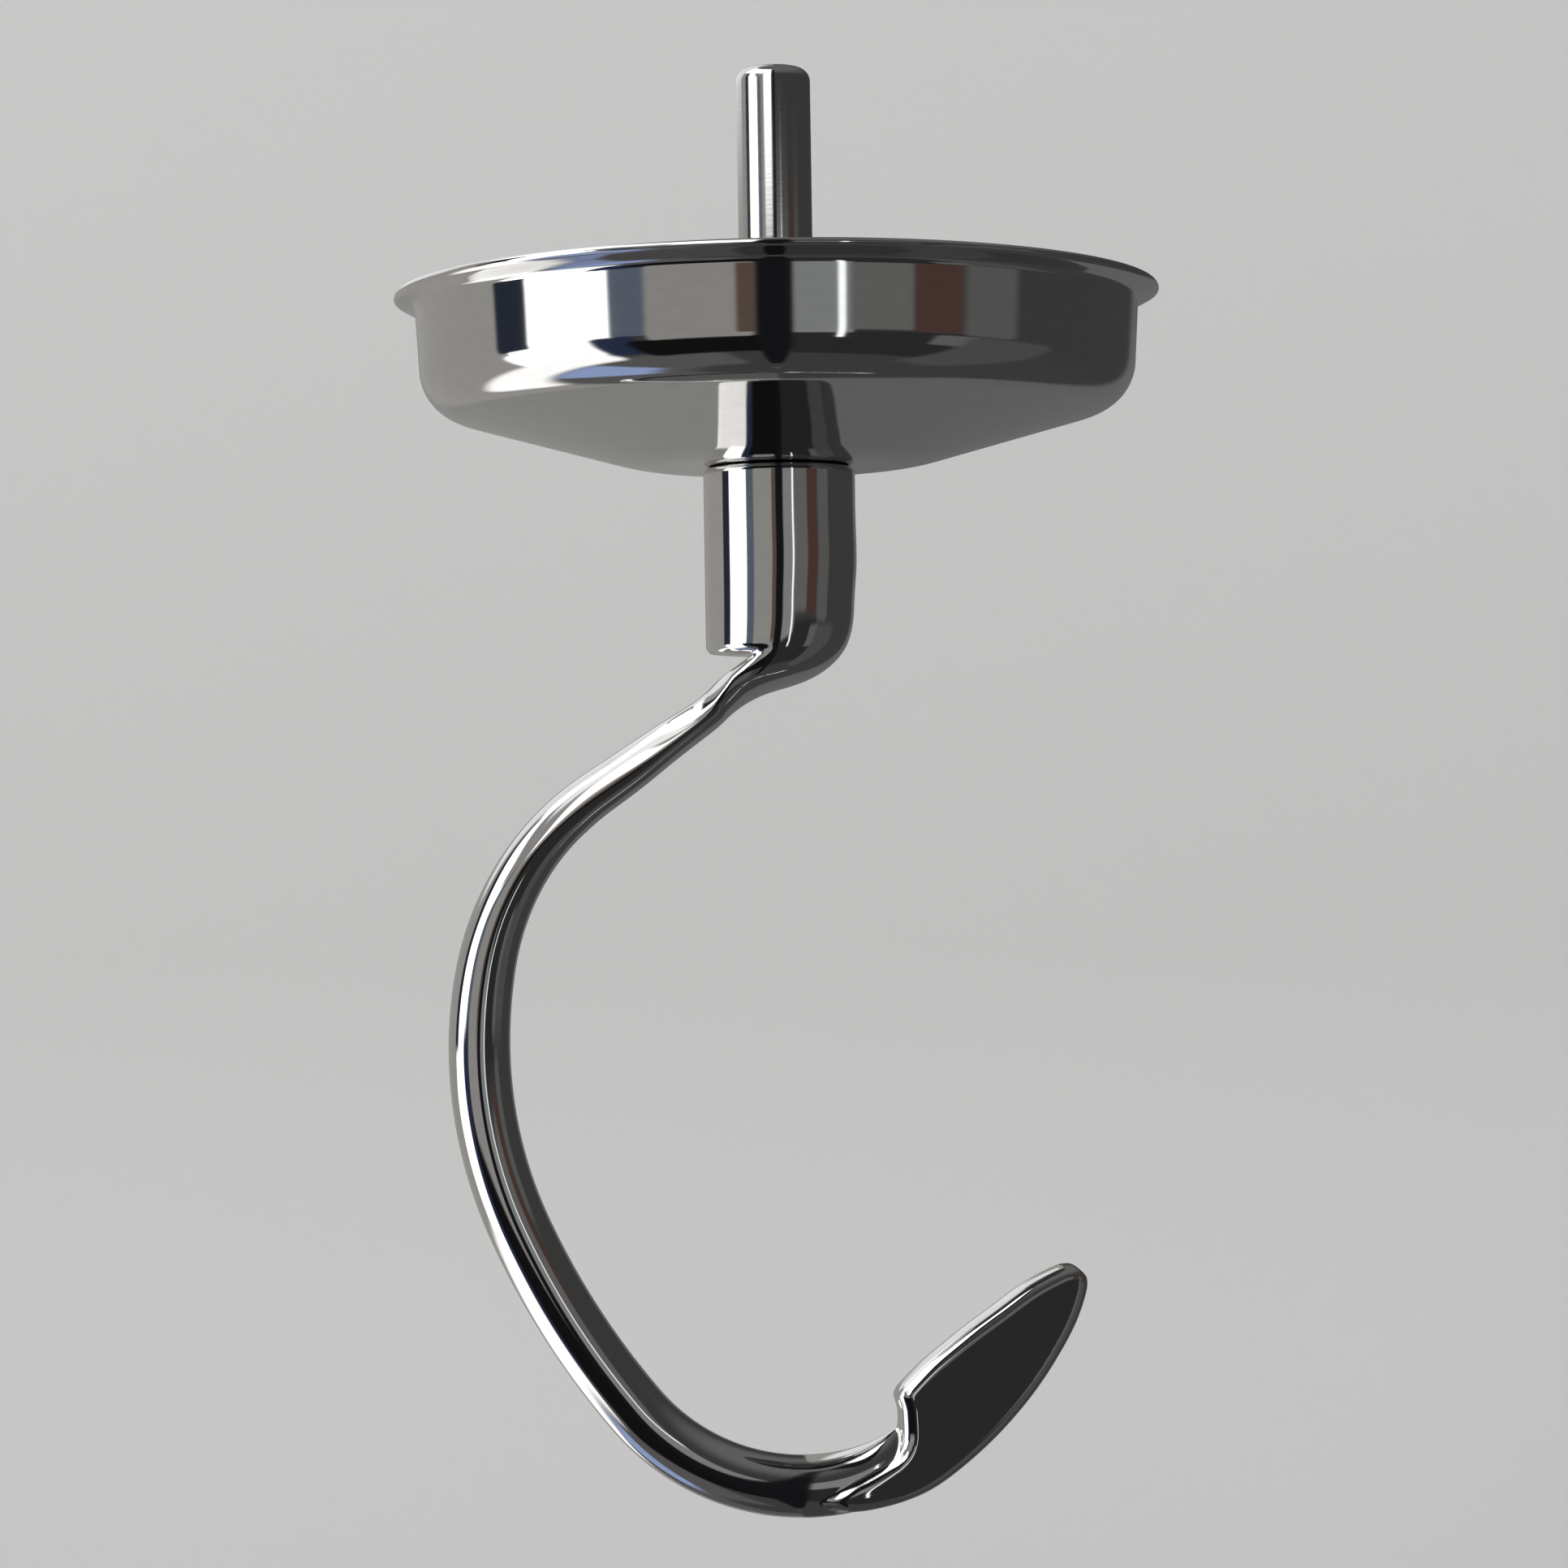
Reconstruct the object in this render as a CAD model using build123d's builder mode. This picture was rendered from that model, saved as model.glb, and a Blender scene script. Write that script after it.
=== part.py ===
from build123d import *
from math import copysign, cos, pi, radians, sin
import os

# Stand mixer dough hook: a polished forged hook under a bowl-shaped splash shield, with a round drive
# shaft that goes up into the mixer. Millimetres, +Z up along the shaft. The origin is on the shaft's
# axis, halfway up the plain stretch that goes into the mixer. The hook's plane is X-Z.

# Drive shaft
shaft_dia = 9.5
socket_length = 21.6        # plain stretch that goes into the mixer
tip_round = 1.7             # rounded shoulder at the tip
groove_width = 1.2          # relief groove between the plain stretch and the pin
groove_depth = 0.5
pin_dia = 4.0               # cross pin that takes the torque
pin_length = 16.0
pin_end_chamfer = 0.4
pin_below_groove = 3.2      # from the groove to the pin's centre
shaft_below_socket = 25.5   # from the plain stretch down to the shoulder on the washer
spigot_dia = 8.0            # reduced end that passes the washer and the shield into the hub
spigot_in_hub = 16.0
spigot_chamfer = 0.6

# Clamping washer inside the shield
washer_dia = 24.0
washer_thick = 1.6
washer_chamfer = 0.4

# Splash shield: pressed sheet, open upwards, with a flared lip
sheet = 0.8
land_r = 18.0               # flat middle that the hub and the washer clamp
wall_foot_r = 45.55         # outside of the wall at its foot
cone_rise = 7.7             # the floor's cone, from the flat middle to the wall's foot
wall_top_r = 46.25          # outside of the wall under the lip
wall_rise = 20.2
lip_r = 49.0                # edge of the flared lip
lip_rise = 21.5
land_round = 25.0
corner_round = 6.5
neck_round = 1.0

# Hub of the hook
hub_dia = 19.5
hub_length = 24.1           # on the left, down to the ledge
hub_straight = 13.6         # length over which the hub stays a true cylinder
hub_taper = 1.75            # how far its right side draws in below that
hub_waist = 0.9             # how much thinner it gets from front to back
hub_top_round = 1.0
bore_extra_depth = 0.6      # room under the spigot for air and brazing metal
fit_clearance = 0.01        # radial, on the spigot and the pin

# Ledge under the hub's left side, where the arm leaves it
ledge_width = 4.85          # from the hub's left side to the ledge's inner corner
ledge_corner_round = 0.5
flat_start = 0.95           # right of the hub's left side, where the curve under the ledge meets the flat
flat_start_round = 8.0
flat_depth = 0.35           # how deep the flat is cut into the arm's upper side
flat_reach = 29.6           # along the arm, past the place where the flat runs out

# Flat on the arm's upper front: turned from the arm's upper side towards the front. Its depth is given
# as distances out from the centre line: above the skin at the root, then at its entry and at its end.
front_flat_turn = 50.0
front_flat_top = 5.0
front_flat_entry = 7.0      # along the arm
front_flat_entry_out = 3.6
front_flat_end = 36.0       # along the arm, past the place where the flat runs out
front_flat_end_out = 1.7
front_flat_round = 40.0

# Root: sections that turn like a fan, about a pivot left of the hub, from the hub's end into the arm
pivot_beyond = 3.25         # from the hub's left side to the pivot
arm_from_pivot = 7.62       # to the arm's centre line
# For each section: its share of the turn, then how far its near edge, its far edge and its depth have
# gone over from the hub's to the arm's
fan_steps = (
    (0.10, 0.03, 0.16, 0.06),
    (0.20, 0.11, 0.35, 0.16),
    (0.40, 0.25, 0.765, 0.39),
    (0.60, 0.42, 0.915, 0.62),
    (0.80, 0.59, 0.99, 0.805),
)

# Centre line of the arm: a straight run, then tangent arcs that open, hang and close the hook
run_slope = 34.9            # below the horizontal, to the left
run_length = 18.58
bend_r = 36.0               # at the left, where the run turns down
bend_angle = 44.2
side_r = 56.7
side_grow_angle = 12.0      # first part of the side, where the arm still grows round
side_bar_angle = 22.9       # rest of the side, a round bar
low_r = 100.0
low_angle = 15.9
foot_r = 27.9
foot_bar_angle = 40.0
foot_nose_angle = 33.6      # rest of the foot, where the bar flattens into the blade

# Sections of the arm
run_thick = 4.5             # at the root, in the hook's plane
run_depth = 10.4            # at the root, from front to back
run_square = 0.3            # how square the oval is at the root
depth_fade = 25.0           # along the arm, over which the depth comes down to the bar's
grow_start = 3.6            # along the arm, where it starts to thicken
bar_dia = 8.1
nose_end_thick = 7.6
nose_end_depth = 3.8

# Blade that ends the hook. Its outline is given on its own plane, from the end of the arm's centre line:
# the heel in the bar, the bowed lower edge, the tip, the bowed upper edge, and an ear over a notch.
blade_thick = 4.6
blade_turn = 18.0           # its face turns this far to the right
blade_edge_round = 1.9
blade_heel_back = 1.9
blade_heel_below = 4.8
blade_reach = 28.0          # to the tip's corner, before it is rounded
blade_rise = 26.5
blade_tip_round = 2.45
blade_under_bow = 6.3       # how far each edge bows out from a straight one
blade_over_bow = 1.5
ear_along = 0.3
ear_up = 9.7
ear_round = 2.3
notch_along = 1.9
notch_up = 6.4
notch_round = 1.0
blade_root_depth = 6.0      # how far the blade goes into the bar

tip_z = socket_length / 2 + tip_round
groove_z = -socket_length / 2 - groove_width
pin_z = groove_z - pin_below_groove
washer_top_z = -socket_length / 2 - shaft_below_socket
floor_z = washer_top_z - washer_thick
seat_z = floor_z - sheet
hub_end_z = seat_z - hub_length
shaft_r = shaft_dia / 2
spigot_r = spigot_dia / 2
hole_r = spigot_r + fit_clearance
hub_r = hub_dia / 2

# Drive shaft: one turned bar
spigot_end_z = seat_z - spigot_in_hub
with BuildPart() as drive_shaft:
    with BuildSketch(Plane.XZ):
        with BuildLine():
            Polyline(
                (0, tip_z),
                (shaft_r, tip_z),
                (shaft_r, -socket_length / 2),
                (shaft_r - groove_depth, -socket_length / 2),
                (shaft_r - groove_depth, groove_z),
                (shaft_r, groove_z),
                (shaft_r, washer_top_z),
                (spigot_r, washer_top_z),
                (spigot_r, spigot_end_z + spigot_chamfer),
                (spigot_r - spigot_chamfer, spigot_end_z),
                (0, spigot_end_z),
                close=True,
            )
        make_face()
    revolve(axis=Axis.Z)
    fillet(drive_shaft.edges().filter_by(GeomType.CIRCLE).sort_by(Axis.Z)[-1], radius=tip_round)
    with BuildSketch(Plane.YZ):
        with Locations((0, pin_z)):
            Circle(pin_dia / 2 + fit_clearance)
    extrude(amount=shaft_dia, both=True, mode=Mode.SUBTRACT)

# Cross pin, pressed through the shaft
with BuildPart() as drive_pin:
    with BuildSketch(Plane.YZ):
        with Locations((0, pin_z)):
            Circle(pin_dia / 2)
    extrude(amount=pin_length / 2, both=True)
    chamfer(drive_pin.edges().filter_by(GeomType.CIRCLE), length=pin_end_chamfer)

# Clamping washer on the shield's floor
with BuildPart() as clamp_washer:
    with BuildSketch(Plane.XY.offset(floor_z)):
        Circle(washer_dia / 2)
        Circle(hole_r, mode=Mode.SUBTRACT)
    extrude(amount=washer_thick)
    washer_rims = clamp_washer.edges().filter_by(GeomType.CIRCLE).group_by(SortBy.RADIUS)[-1]
    chamfer(washer_rims.sort_by(Axis.Z)[-1], length=washer_chamfer)

# Splash shield: the outline of the sheet's underside, thickened upwards and turned about the axis
with BuildPart() as shield_dish:
    with BuildSketch(Plane.XZ):
        with BuildLine() as shield_line:
            FilletPolyline(
                (hole_r, seat_z),
                (land_r, seat_z),
                (wall_foot_r, seat_z + cone_rise),
                (wall_top_r, seat_z + wall_rise),
                (lip_r, seat_z + lip_rise),
                radius=(land_round, corner_round, neck_round),
            )
            offset(amount=sheet, side=Side.LEFT, closed=True)
        make_face()
    revolve(axis=Axis.Z)


# Hook body: hub, arm and blade, one forging
section_points = 16         # points of a section's outline
section_step = 6.0          # along the arm, from one section to the next
hub_steps = 3
nose_steps = 4


def oval(plane, near, far, depth, square=0.0):
    """A closed oval on the plane, from near to far along its X and as deep as given across it."""
    middle, half = (near + far) / 2, (far - near) / 2
    power = 2 / (2 + square)
    outline = []
    for k in range(section_points):
        a = 2 * pi * k / section_points
        along = copysign(abs(cos(a)) ** power, cos(a)) * half
        deep = copysign(abs(sin(a)) ** power, sin(a)) * depth / 2
        outline.append((middle + along, deep))
    with BuildSketch(plane) as section:
        with BuildLine():
            Spline(*outline, periodic=True)
        make_face()
    return section.sketch


def disc(plane, dia):
    """A round section on the plane."""
    with BuildSketch(plane) as section:
        Circle(dia / 2)
    return section.sketch


def ease(share):
    """A smooth step from 0 to 1."""
    share = min(max(share, 0), 1)
    return share * share * (3 - 2 * share)


def across_plane(wire, distance):
    """The plane square to a wire, whose X points to the hook's inner side."""
    heading = wire % (distance / wire.length)
    inner = heading.cross(Vector(0, 1, 0))
    return Plane(origin=wire @ (distance / wire.length), x_dir=inner, z_dir=heading)


def fan_plane(turn):
    """The plane through the fan's pivot, turned down from the horizontal."""
    a = radians(turn)
    return Plane(origin=(pivot_x, 0, hub_end_z), x_dir=(cos(a), 0, -sin(a)), z_dir=(-sin(a), 0, -cos(a)))


def between(start, end, share):
    """The value a share of the way from start to end."""
    return start + (end - start) * share


pivot_x = -hub_r - pivot_beyond
fan_turn = 90 - run_slope
arm_start = fan_plane(fan_turn).from_local_coords((arm_from_pivot, 0, 0))
with BuildLine(Plane.XZ) as upper_line:
    run = PolarLine((arm_start.X, arm_start.Z), run_length, angle=180 + run_slope)
    left_bend = JernArc(run @ 1, run % 1, bend_r, bend_angle)
    grow_side = JernArc(left_bend @ 1, left_bend % 1, side_r, side_grow_angle)
with BuildLine(Plane.XZ) as bar_line:
    bar_side = JernArc(grow_side @ 1, grow_side % 1, side_r, side_bar_angle)
    low = JernArc(bar_side @ 1, bar_side % 1, low_r, low_angle)
    bar_foot = JernArc(low @ 1, low % 1, foot_r, foot_bar_angle)
with BuildLine(Plane.XZ) as nose_line:
    JernArc(bar_foot @ 1, bar_foot % 1, foot_r, foot_nose_angle)
upper_wire = Wire(upper_line.edges())
bar_wire = Wire(bar_line.edges())
nose_wire = Wire(nose_line.edges())

# From the hub's cylinder down to the ledge
hub_sections = [disc(Plane.XY.offset(seat_z - hub_straight), hub_dia)]
for k in range(1, hub_steps + 1):
    share = k / hub_steps
    drop = hub_straight + share * (hub_length - hub_straight)
    far = hub_r - hub_taper * share**2
    depth = hub_dia - hub_waist * share**2
    hub_sections.append(oval(Plane.XY.offset(seat_z - drop), -hub_r, far, depth))

# From the ledge round into the arm
arm_near = arm_from_pivot - run_thick / 2 - flat_depth
arm_far = arm_from_pivot + run_thick / 2
fan = [hub_sections[-1]]
for turned, near_share, far_share, depth_share in fan_steps:
    near = between(pivot_beyond, arm_near, near_share)
    far = between(hub_dia - hub_taper + pivot_beyond, arm_far, far_share)
    depth = between(hub_dia - hub_waist, run_depth, depth_share)
    fan.append(oval(fan_plane(fan_turn * turned), near, far, depth))

# Along the arm to the round bar
arm = []
arm_steps = round(upper_wire.length / section_step)
for k in range(arm_steps):
    distance = upper_wire.length * k / arm_steps
    grown = ease((distance - grow_start) / (upper_wire.length - grow_start))
    fade = max(1 - distance / depth_fade, 0)
    thick = between(run_thick, bar_dia, grown)
    depth = between(bar_dia, run_depth, fade**2)
    near = -thick / 2 - flat_depth * (1 - grown)
    square = run_square * (1 - grown)
    arm.append(oval(across_plane(upper_wire, distance), near, thick / 2, depth, square))
arm.append(disc(across_plane(upper_wire, upper_wire.length), bar_dia))
fan.append(arm[0])

# From the round bar into the blade
nose = [disc(across_plane(nose_wire, 0), bar_dia)]
for k in range(1, nose_steps + 1):
    share = k / nose_steps
    thick = between(bar_dia, nose_end_thick, ease(share))
    depth = between(bar_dia, nose_end_depth, share**2)
    plane = across_plane(nose_wire, nose_wire.length * share)
    nose.append(oval(plane, -thick / 2, thick / 2, depth))

blade_root = nose_wire @ 1
blade_a = radians(blade_turn)
blade_plane = Plane(
    origin=(blade_root.X, 0, blade_root.Z),
    x_dir=(cos(blade_a), sin(blade_a), 0),
    z_dir=(sin(blade_a), -cos(blade_a), 0),
)

heel = (-blade_heel_back, -blade_heel_below)
tip = (blade_reach, blade_rise)
ear = (ear_along, ear_up)
notch = (notch_along, notch_up)
with BuildSketch(blade_plane) as blade_outline:
    with BuildLine():
        SagittaArc(heel, tip, -blade_under_bow)
        SagittaArc(tip, ear, -blade_over_bow)
        Polyline(ear, notch, (-blade_root_depth, 0), heel)
    make_face()
    corners = blade_outline.vertices()
    fillet(corners.sort_by_distance(tip)[0], radius=blade_tip_round)
    fillet(corners.sort_by_distance(ear)[0], radius=ear_round)
    fillet(corners.sort_by_distance(notch)[0], radius=notch_round)

# What is cut away under the ledge and along the diagonal's flat
run_heading = run % 1
arm_top = arm_start + Vector(run_heading.Z, 0, -run_heading.X) * (run_thick / 2)
flat_end = arm_top + run_heading * flat_reach
flat_start_x = -hub_r + flat_start
flat_start_z = arm_top.Z + (flat_start_x - arm_top.X) * run_heading.Z / run_heading.X
with BuildSketch(Plane.XZ) as ledge_cut:
    with BuildLine():
        cut_edge = FilletPolyline(
            (flat_end.X, hub_end_z),
            (-hub_r + ledge_width, hub_end_z),
            (flat_start_x, flat_start_z),
            (flat_end.X, flat_end.Z),
            radius=(ledge_corner_round, flat_start_round),
        )
        Line(cut_edge @ 1, cut_edge @ 0)
    make_face()

front_a = radians(front_flat_turn)
front_out = Vector(run_heading.Z * cos(front_a), -sin(front_a), -run_heading.X * cos(front_a))
front_plane = Plane(origin=arm_start, x_dir=run_heading, z_dir=run_heading.cross(front_out))
with BuildSketch(front_plane) as front_cut:
    with BuildLine():
        front_edge = FilletPolyline(
            (0, front_flat_top),
            (front_flat_entry, front_flat_entry_out),
            (front_flat_end, front_flat_end_out),
            radius=front_flat_round,
        )
        Polyline(front_edge @ 1, (front_flat_end, front_flat_top), front_edge @ 0)
    make_face()

with BuildPart() as hook_body:
    extrude(blade_outline.sketch, amount=blade_thick / 2, both=True)
    blade_faces = hook_body.faces().filter_by(GeomType.PLANE).sort_by(SortBy.AREA)[-2:]
    blade_rims = blade_faces[0].edges() + blade_faces[1].edges()
    fillet(blade_rims.filter_by(GeomType.CIRCLE), radius=blade_edge_round)
    with BuildSketch(Plane.XY.offset(seat_z)):
        Circle(hub_r)
    extrude(amount=-hub_straight)
    fillet(hook_body.edges().filter_by(GeomType.CIRCLE).sort_by(Axis.Z)[-1], radius=hub_top_round)
    loft(hub_sections)
    loft(fan)
    loft(arm)
    extrude(ledge_cut.sketch, amount=hub_dia, both=True, mode=Mode.SUBTRACT)
    extrude(front_cut.sketch, amount=run_depth, both=True, mode=Mode.SUBTRACT)
    sweep(disc(across_plane(bar_wire, 0), bar_dia), path=bar_wire)
    loft(nose)
    with BuildSketch(Plane.XY.offset(seat_z)):
        Circle(hole_r)
    extrude(amount=-spigot_in_hub - bore_extra_depth, mode=Mode.SUBTRACT)

pieces = {"drive_shaft": drive_shaft, "drive_pin": drive_pin, "clamp_washer": clamp_washer,
          "shield_dish": shield_dish, "hook_body": hook_body}
os.makedirs("parts", exist_ok=True)
for name, piece in pieces.items():
    piece.part.label = name
    export_step(piece.part, f"parts/{name}.step")
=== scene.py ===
import math

import bpy
import numpy as np
from mathutils import Euler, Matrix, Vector


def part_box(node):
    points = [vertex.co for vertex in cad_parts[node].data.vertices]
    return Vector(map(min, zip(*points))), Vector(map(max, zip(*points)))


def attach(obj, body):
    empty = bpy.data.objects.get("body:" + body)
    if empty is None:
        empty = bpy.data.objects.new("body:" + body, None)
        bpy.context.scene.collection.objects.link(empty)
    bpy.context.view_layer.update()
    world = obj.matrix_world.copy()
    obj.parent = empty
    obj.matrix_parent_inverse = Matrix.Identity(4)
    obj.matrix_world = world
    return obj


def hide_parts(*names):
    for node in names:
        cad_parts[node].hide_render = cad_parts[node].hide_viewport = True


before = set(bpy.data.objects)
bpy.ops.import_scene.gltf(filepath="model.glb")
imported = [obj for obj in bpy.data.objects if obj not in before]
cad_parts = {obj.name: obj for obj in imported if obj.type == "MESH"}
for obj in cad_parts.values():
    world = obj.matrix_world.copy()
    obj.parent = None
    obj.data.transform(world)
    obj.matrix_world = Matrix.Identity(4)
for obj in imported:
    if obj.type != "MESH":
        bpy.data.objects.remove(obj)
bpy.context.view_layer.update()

# Stand mixer dough hook. Shapes are worked out in millimetres in the part's own frame, +Z up the drive
# shaft and the hook in the X-Z plane, and become metres when a mesh is made.
mm = 0.001
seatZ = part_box("shield_dish")[0].z / mm       # where the hub's top meets the shield
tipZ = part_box("drive_shaft")[1].z / mm        # top of the drive shaft


# ---- shared shape helpers
def splineThrough(knots, values, x):
    # Natural cubic spline: second derivatives from the tridiagonal system, then the cubic in each span
    knots, values, x = (np.asarray(v, float) for v in (knots, values, x))
    span = np.diff(knots)
    slope = np.diff(values) / span
    system = np.diag(np.r_[1, 2 * (span[:-1] + span[1:]), 1])
    system += np.diag(np.r_[0, span[1:]], 1) + np.diag(np.r_[span[:-1], 0], -1)
    bend = np.linalg.solve(system, np.r_[0, 6 * np.diff(slope), 0])
    k = np.clip(np.searchsorted(knots, x) - 1, 0, len(span) - 1)
    a, b = (knots[k + 1] - x) / span[k], (x - knots[k]) / span[k]
    curve = ((a**3 - a) * bend[k] + (b**3 - b) * bend[k + 1]) * span[k]**2 / 6
    return a * values[k] + b * values[k + 1] + curve


def smoothStep(low, high, x):
    # 0 below low, 1 above high, and 3t^2 - 2t^3 between them
    t = np.clip((x - low) / (high - low), 0, 1)
    return t * t * (3 - 2 * t)


def roundMax(a, b, radius):
    # Intersection of two distance fields whose common edge is a quarter circle of the radius
    corner = np.hypot(np.maximum(a + radius, 0), np.maximum(b + radius, 0))
    return corner + np.minimum(np.maximum(a, b), -radius)


def roundMin(a, b, radius):
    # Union of two distance fields with a fillet of the radius in their corner
    return -roundMax(-a, -b, radius)


def makeMesh(name, grid, closedRows=False, poles=(), material=None, node=None):
    # grid[row, column] is a point in mm, closed round the columns; a pole closes the first or last row
    rows, columns = grid.shape[:2]
    last = rows if closedRows else rows - 1
    here = (np.arange(last)[:, None] * columns + np.arange(columns)) % (rows * columns)
    beside = (np.arange(last)[:, None] * columns + (np.arange(columns) + 1) % columns) % (rows * columns)
    step = rows * columns
    quads = np.stack([here, beside, (beside + columns) % step, (here + columns) % step], -1).reshape(-1, 4)
    points = [grid.reshape(-1, 3)]
    faces = quads.tolist()
    for k, pole in enumerate(poles):
        points.append(np.array([pole], float))
        centre = step + k
        ring = np.arange(columns) + (0 if k == 0 else step - columns)
        after = np.roll(ring, -1)
        pair = (after, ring) if k == 0 else (ring, after)
        faces += np.stack([pair[0], pair[1], np.full(columns, centre)], -1).tolist()
    points = np.concatenate(points)
    # each quad spans two tetrahedra with the origin; a negative sum means that the faces point inwards
    a, b, c, d = np.moveaxis(points[quads], 1, 0)
    if np.sum(a * (np.cross(b, c) + np.cross(c, d))) < 0:
        faces = [face[::-1] for face in faces]
    mesh = bpy.data.meshes.new(name)
    mesh.from_pydata((points * mm).tolist(), [], faces)
    mesh.shade_smooth()
    piece = bpy.data.objects.new(name, mesh)
    bpy.context.scene.collection.objects.link(piece)
    if material:
        mesh.materials.append(material)
    if node:
        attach(piece, "root")
        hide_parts(node)
    print("made", name, len(points), "points")
    return piece


def spinProfile(profile, count):
    # A profile of (radius, height) carried once round the Z axis
    turn = np.linspace(0, 2 * np.pi, count, endpoint=False)
    radius, height = profile[:, 0, None], profile[:, 1, None]
    return np.stack([radius * np.cos(turn), radius * np.sin(turn), height + 0 * turn], -1)


def roundedLine(corners, radii, step):
    # A run of points whose inner corners become arcs tangent to both neighbours
    corners = np.asarray(corners, float)
    points = [corners[:1]]
    for k, radius in enumerate(radii, 1):
        back, ahead = corners[k - 1] - corners[k], corners[k + 1] - corners[k]
        back, ahead = back / np.hypot(*back), ahead / np.hypot(*ahead)
        half = math.acos(np.clip(back @ ahead, -1, 1)) / 2
        middle = (back + ahead) / np.hypot(*(back + ahead))
        centre = corners[k] + middle * radius / math.sin(half)
        reach = math.pi / 2 - half
        swing = np.linspace(-reach, reach, max(5, int(2 * reach * radius / step)))
        side = np.array([-middle[1], middle[0]])
        side = side if side @ back < 0 else -side
        arc = centre - radius * np.outer(np.cos(swing), middle)
        points.append(arc + radius * np.outer(np.sin(swing), side))
    points.append(corners[-1:])
    return np.concatenate(points)


def evenly(line, step):
    # The same line with extra points, no further apart than the step
    parts = [line[:1]]
    for a, b in zip(line[:-1], line[1:]):
        count = max(1, math.ceil(np.hypot(*(b - a)) / step))
        parts.append(a + (b - a) * np.linspace(0, 1, count + 1)[1:, None])
    return np.concatenate(parts)


# ---- polished steel
finishes = {
    # colour, roughness, scale of the polishing lines along X, Y and Z, depth of the lines in metres
    "polishedHook": ((0.70, 0.69, 0.68), 0.045, (500, 500, 500), 0.00001),
    "polishedShield": ((0.68, 0.67, 0.66), 0.05, (300, 300, 900), 0.00001),
    "turnedShaft": ((0.66, 0.65, 0.64), 0.10, (60, 60, 2600), 0.00002),
    "turnedWasher": ((0.58, 0.58, 0.57), 0.2, (900, 900, 60), 0.00003),
}
buffing = {
    "hazeScale": 90.0,
    "hazeShare": (0.7, 1.5),      # roughness runs between these shares of the finish's own
    "lineShade": 0.96,            # colour in the polishing lines, against the finish's own
    "lineEdge": (0.35, 0.65),     # where that colour ends and the finish's own begins
    "bump": 0.12,
}


def steel(name):
    # Noise stretched into polishing lines gives colour and bump, and broad noise gives the roughness its haze
    colour, roughness, lineScale, lineDepth = finishes[name]
    material = bpy.data.materials.new(name)
    material.use_nodes = True
    nodes, links = material.node_tree.nodes, material.node_tree.links
    shader = nodes["Principled BSDF"]
    shader.inputs["Metallic"].default_value = 1.0
    place = nodes.new("ShaderNodeTexCoord")
    stretch = nodes.new("ShaderNodeMapping")
    stretch.inputs["Scale"].default_value = lineScale
    links.new(place.outputs["Object"], stretch.inputs["Vector"])
    fine = nodes.new("ShaderNodeTexNoise")
    fine.inputs["Scale"].default_value = 1.0
    fine.inputs["Detail"].default_value = 4.0
    links.new(stretch.outputs["Vector"], fine.inputs["Vector"])
    broad = nodes.new("ShaderNodeTexNoise")
    broad.inputs["Scale"].default_value = buffing["hazeScale"]
    broad.inputs["Detail"].default_value = 2.0
    links.new(place.outputs["Object"], broad.inputs["Vector"])
    haze = nodes.new("ShaderNodeMapRange")
    haze.inputs["To Min"].default_value = roughness * buffing["hazeShare"][0]
    haze.inputs["To Max"].default_value = roughness * buffing["hazeShare"][1]
    links.new(broad.outputs["Fac"], haze.inputs["Value"])
    links.new(haze.outputs["Result"], shader.inputs["Roughness"])
    tint = nodes.new("ShaderNodeValToRGB")
    lines, clear = tint.color_ramp.elements
    lines.position, clear.position = buffing["lineEdge"]
    lines.color = (*[c * buffing["lineShade"] for c in colour], 1)
    clear.color = (*colour, 1)
    links.new(fine.outputs["Fac"], tint.inputs["Fac"])
    links.new(tint.outputs["Color"], shader.inputs["Base Color"])
    bump = nodes.new("ShaderNodeBump")
    bump.inputs["Strength"].default_value = buffing["bump"]
    bump.inputs["Distance"].default_value = lineDepth
    links.new(fine.outputs["Fac"], bump.inputs["Height"])
    links.new(bump.outputs["Normal"], shader.inputs["Normal"])
    return material


polished, pressed, turned, plain = (steel(name) for name in finishes)
print("materials ready")


# ---- splash shield
shield = {
    "sheet": 0.8,
    # outline of the underside: radius, height over the seat; then the bend radius at each inner corner
    "outline": [(4.01, 0.0), (18.0, 0.0), (45.55, 7.7), (46.25, 20.2), (49.0, 21.5)],
    "bends": [25.0, 6.5, 1.0],
    "noseReach": 0.6,        # how far the lip's rounded edge stands out, against half the sheet
    "step": 0.9,
    "columns": 288,
}


def makeShield():
    # Underside profile, and the same profile moved a sheet's thickness along its normal for the inside
    under = evenly(roundedLine(shield["outline"], shield["bends"], shield["step"] / 3), shield["step"])
    along = np.gradient(under, axis=0)
    along /= np.hypot(along[:, 0], along[:, 1])[:, None]
    inside = under + shield["sheet"] * np.stack([-along[:, 1], along[:, 0]], -1)
    edge = (under[-1] + inside[-1]) / 2
    swing = np.linspace(-np.pi / 2, np.pi / 2, 9)[1:-1, None]
    half, reach = shield["sheet"] / 2, shield["noseReach"]
    out, up = along[-1], np.array([-along[-1, 1], along[-1, 0]])
    nose = edge + half * (np.cos(swing) * out * reach + np.sin(swing) * up) - reach * half * out
    under, inside = under[:-1], inside[:-1]
    profile = np.concatenate([under, nose, inside[::-1]])
    profile[:, 1] += seatZ
    makeMesh("splashShield", spinProfile(profile, shield["columns"]), closedRows=True, material=pressed,
             node="shield_dish")


makeShield()


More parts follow.
